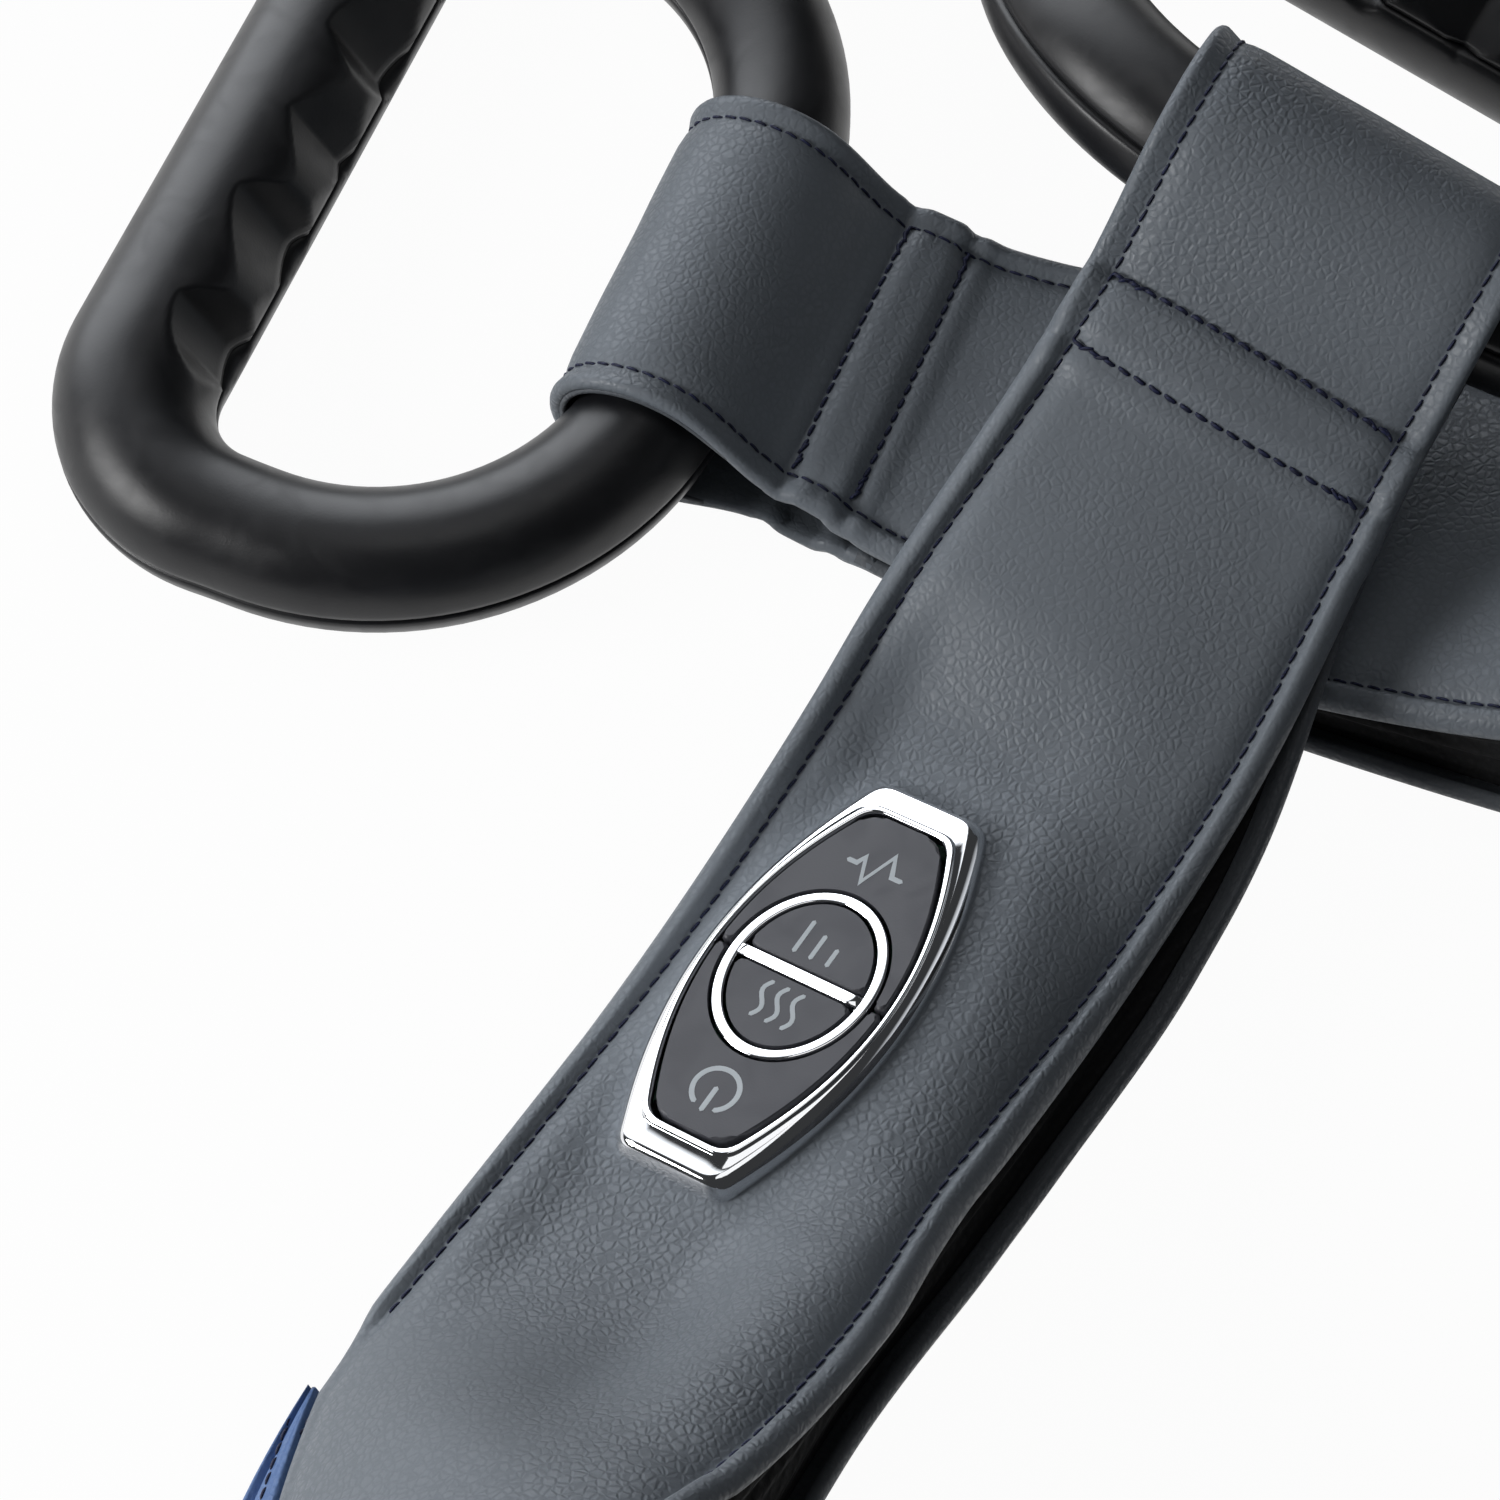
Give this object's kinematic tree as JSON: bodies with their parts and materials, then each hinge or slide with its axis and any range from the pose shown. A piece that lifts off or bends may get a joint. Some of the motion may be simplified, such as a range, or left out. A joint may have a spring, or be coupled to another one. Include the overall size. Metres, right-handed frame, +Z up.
{
  "type": "shiatsu neck massager",
  "caption": "Collar-shaped kneading neck massager: padded leather arms with ring handles, a chrome-framed push-button panel and a worm-driven pair of kneading rotors.",
  "frame": {"origin": "middle of the flat underside of the collar body, on the floor", "axes": "+Z up; +X toward the arm with the control panel; +Y out of the body's back; the neck and the crossed arms are on the -Y side"},
  "size_m": [0.4608, 0.5359, 0.1519],
  "materials": {
    "blue_leather": "fine pebbled imitation leather",
    "black_mesh": "breathable spacer mesh",
    "grey_leather": "fine pebbled imitation leather",
    "grey_lining": "fine pebbled imitation leather",
    "black_fabric": "black gusset cloth over foam",
    "pale_foam": "open-cell foam",
    "black_plastic": "satin black",
    "chrome": "mirror chrome plating",
    "button_plastic": "dark grey satin",
    "circuit_board": "green board",
    "brass": "machined",
    "gear_plastic": "natural nylon",
    "node_plastic": "soft-touch",
    "steel": "plain",
    "unit_plastic": "pale moulding"
  },
  "bodies": {
    "collar": {"back_cover": "blue_leather", "back_foam": "pale_foam", "base_strip": "black_fabric", "case_screw_1": "steel", "case_screw_2": "steel", "case_screw_3": "steel", "case_screw_4": "steel", "control_bezel": "chrome", "control_board": "circuit_board", "control_housing": "black_plastic", "control_ring": "chrome", "dc_socket": "black_plastic", "front_cover": "black_mesh", "left_arm_inner_panel": "grey_lining", "left_arm_outer_panel": "grey_leather", "left_arm_pad": "black_fabric", "left_handle_loop": "grey_leather", "main_board": "circuit_board", "motor": "steel", "right_arm_inner_panel": "grey_lining", "right_arm_outer_panel": "grey_leather", "right_arm_pad": "black_fabric", "right_handle_loop": "grey_leather", "unit_base": "unit_plastic", "unit_cover": "unit_plastic", "upper_gusset": "black_fabric"},
    "left_handle": {"left_handle_top_shell": "black_plastic", "left_handle_bottom_shell": "black_plastic"},
    "right_handle": {"right_handle_top_shell": "black_plastic", "right_handle_bottom_shell": "black_plastic"},
    "mode_key": {"mode_button": "button_plastic"},
    "level_key": {"level_button": "button_plastic"},
    "heat_key": {"heat_button": "button_plastic"},
    "power_key": {"power_button": "button_plastic"},
    "motor_rotor": {"motor_shaft": "steel", "left_worm": "brass", "right_worm": "brass"},
    "left_rotor": {"left_inner_large_node": "node_plastic", "left_lower_small_node": "node_plastic", "left_outer_large_node": "node_plastic", "left_output_shaft": "steel", "left_rotor_plate": "unit_plastic", "left_upper_small_node": "node_plastic", "left_worm_wheel": "gear_plastic"},
    "right_rotor": {"right_inner_large_node": "node_plastic", "right_lower_small_node": "node_plastic", "right_outer_large_node": "node_plastic", "right_output_shaft": "steel", "right_rotor_plate": "unit_plastic", "right_upper_small_node": "node_plastic", "right_worm_wheel": "gear_plastic"}
  },
  "joints": [
    {"name": "left_handle_swing", "type": "hinge", "parent": "collar", "child": "left_handle", "pos_m": [-0.06872, -0.31254, 0.06056], "axis": [-0.5321, 0.8384, -0.1184], "range_deg": [-2, 95]},
    {"name": "right_handle_swing", "type": "hinge", "parent": "collar", "child": "right_handle", "pos_m": [0.0195, -0.36925, 0.01618], "axis": [-0.757, -0.6534, 0], "range_deg": [-75, 95]},
    {"name": "mode_press", "type": "slide", "parent": "collar", "child": "mode_key", "axis": [-0.0693, 0.2464, -0.9667], "range_m": [0, 0.001], "stiffness_N_per_m": 1500},
    {"name": "level_press", "type": "slide", "parent": "collar", "child": "level_key", "axis": [-0.0693, 0.2464, -0.9667], "range_m": [0, 0.001], "stiffness_N_per_m": 1500},
    {"name": "heat_press", "type": "slide", "parent": "collar", "child": "heat_key", "axis": [-0.0693, 0.2464, -0.9667], "range_m": [0, 0.001], "stiffness_N_per_m": 1500},
    {"name": "power_press", "type": "slide", "parent": "collar", "child": "power_key", "axis": [-0.0693, 0.2464, -0.9667], "range_m": [0, 0.001], "stiffness_N_per_m": 1500},
    {"name": "left_rotor_spin", "type": "hinge", "parent": "collar", "child": "left_rotor", "pos_m": [0.044, 0, 0.0705], "axis": [0, 1, 0], "continuous": true},
    {"name": "right_rotor_spin", "type": "hinge", "parent": "collar", "child": "right_rotor", "pos_m": [-0.044, 0, 0.0705], "axis": [0, 1, 0], "continuous": true},
    {"name": "motor_spin", "type": "hinge", "parent": "collar", "child": "motor_rotor", "pos_m": [0, 0.01, 0.09], "axis": [1, 0, 0], "continuous": true}
  ],
  "couplings": [
    {"joint": "right_rotor_spin", "follows": "left_rotor_spin", "ratio": -1},
    {"joint": "motor_spin", "follows": "left_rotor_spin", "ratio": -30}
  ]
}
